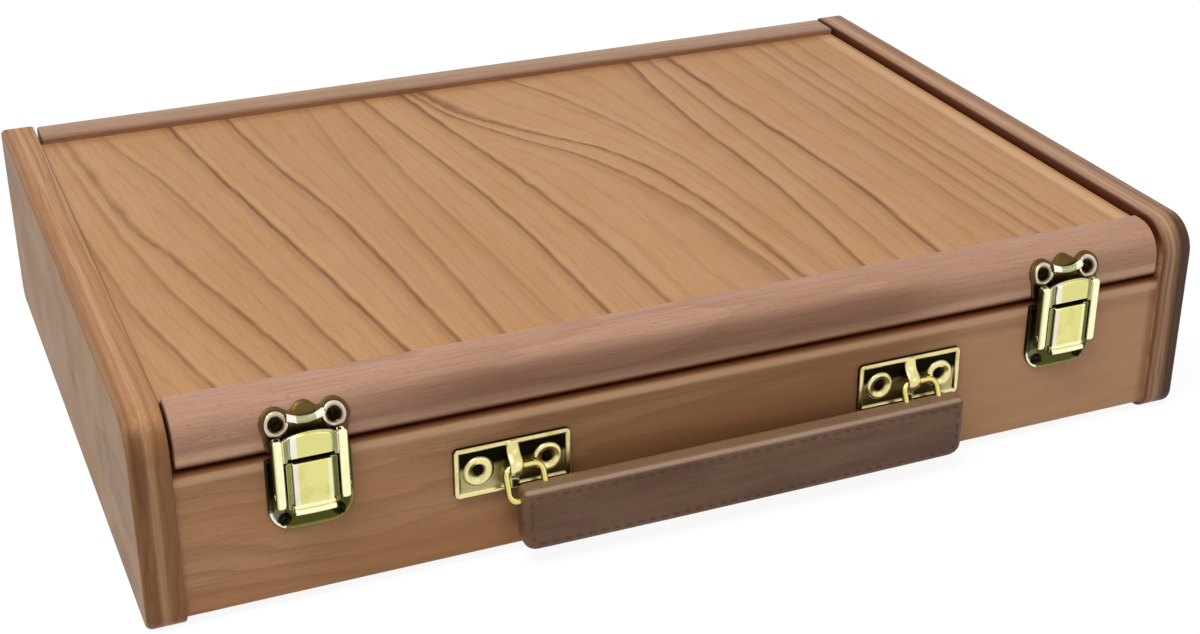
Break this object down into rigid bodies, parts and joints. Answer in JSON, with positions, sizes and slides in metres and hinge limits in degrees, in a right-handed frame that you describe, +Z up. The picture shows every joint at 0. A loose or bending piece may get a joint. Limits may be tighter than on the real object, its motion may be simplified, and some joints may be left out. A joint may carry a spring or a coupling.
{
  "type": "artist paint box",
  "caption": "Flat wooden sketch box: hinged lid with palette inside, brass draw catches, swinging carrying handle, and a base with paint compartments and a brush trough.",
  "frame": {"origin": "on the table under the middle of the whole object, hinge barrels and handle included", "axes": "+X to the right along the width, the front with the handle faces -Y, +Z up"},
  "size_m": [0.42, 0.3036, 0.082],
  "materials": {
    "beech_frame": "satin lacquer",
    "beech_panel": "satin lacquer",
    "birch_plywood": "bare, sanded",
    "pressed_brass": "polished plate",
    "brass_wire": "polished plate",
    "brass_screws": "plated",
    "handle_leather": "semi-matt"
  },
  "bodies": {
    "base": {"left_end_board": "beech_frame", "right_end_board": "beech_frame", "front_board": "beech_frame", "back_board": "beech_frame", "bottom_panel": "birch_plywood", "trough_divider": "birch_plywood", "compartment_dividers": "birch_plywood", "left_hinge_base_leaf": "pressed_brass", "right_hinge_base_leaf": "pressed_brass", "left_hinge_pin": "brass_wire", "right_hinge_pin": "brass_wire", "hinge_base_screws": "brass_screws", "left_catch_plate": "pressed_brass", "right_catch_plate": "pressed_brass", "left_catch_pin": "brass_wire", "right_catch_pin": "brass_wire", "catch_plate_screws": "brass_screws", "left_handle_bracket": "pressed_brass", "right_handle_bracket": "pressed_brass", "bracket_nails": "brass_screws"},
    "lid": {"lid_front_rail": "beech_frame", "lid_back_rail": "beech_frame", "lid_left_rail": "beech_frame", "lid_right_rail": "beech_frame", "lid_panel": "beech_panel", "palette": "birch_plywood", "turn_button_screws": "brass_screws", "left_hinge_lid_leaf": "pressed_brass", "right_hinge_lid_leaf": "pressed_brass", "hinge_lid_screws": "brass_screws", "left_catch_keeper": "pressed_brass", "right_catch_keeper": "pressed_brass", "keeper_screws": "brass_screws"},
    "left_lever": {"left_catch_lever": "pressed_brass"},
    "left_bail": {"left_catch_bail": "pressed_brass", "left_catch_bail_pins": "brass_wire"},
    "right_lever": {"right_catch_lever": "pressed_brass"},
    "right_bail": {"right_catch_bail": "pressed_brass", "right_catch_bail_pins": "brass_wire"},
    "handle": {"handle_grip": "handle_leather", "left_handle_ring": "brass_wire", "right_handle_ring": "brass_wire"},
    "left_button": {"left_turn_button": "pressed_brass"},
    "right_button": {"right_turn_button": "pressed_brass"}
  },
  "joints": [
    {"name": "lid_hinge", "type": "hinge", "parent": "base", "child": "lid", "pos_m": [0, 0.1495, 0.06], "axis": [-1, 0, 0], "range_deg": [0, 105]},
    {"name": "left_lever_pivot", "type": "hinge", "parent": "base", "child": "left_lever", "pos_m": [-0.1505, -0.1422, 0.0571], "axis": [-1, 0, 0], "range_deg": [0, 105]},
    {"name": "left_bail_pivot", "type": "hinge", "parent": "left_lever", "child": "left_bail", "pos_m": [-0.1505, -0.1422, 0.0466], "axis": [-1, 0, 0], "range_deg": [-105, 0]},
    {"name": "right_lever_pivot", "type": "hinge", "parent": "base", "child": "right_lever", "pos_m": [0.1505, -0.1422, 0.0571], "axis": [-1, 0, 0], "range_deg": [0, 105]},
    {"name": "right_bail_pivot", "type": "hinge", "parent": "right_lever", "child": "right_bail", "pos_m": [0.1505, -0.1422, 0.0466], "axis": [-1, 0, 0], "range_deg": [-105, 0]},
    {"name": "handle_swing", "type": "hinge", "parent": "base", "child": "handle", "pos_m": [0.003, -0.1418, 0.038], "axis": [-1, 0, 0], "range_deg": [0, 125]},
    {"name": "left_button_turn", "type": "hinge", "parent": "lid", "child": "left_button", "pos_m": [-0.1906, 0.0043, 0.0595], "axis": [0, 0, 1], "range_deg": [0, 90]},
    {"name": "right_button_turn", "type": "hinge", "parent": "lid", "child": "right_button", "pos_m": [0.1906, 0.0043, 0.0595], "axis": [0, 0, 1], "range_deg": [0, 90]}
  ],
  "couplings": [
    {"joint": "left_bail_pivot", "follows": "left_lever_pivot", "ratio": -1},
    {"joint": "right_bail_pivot", "follows": "right_lever_pivot", "ratio": -1}
  ]
}
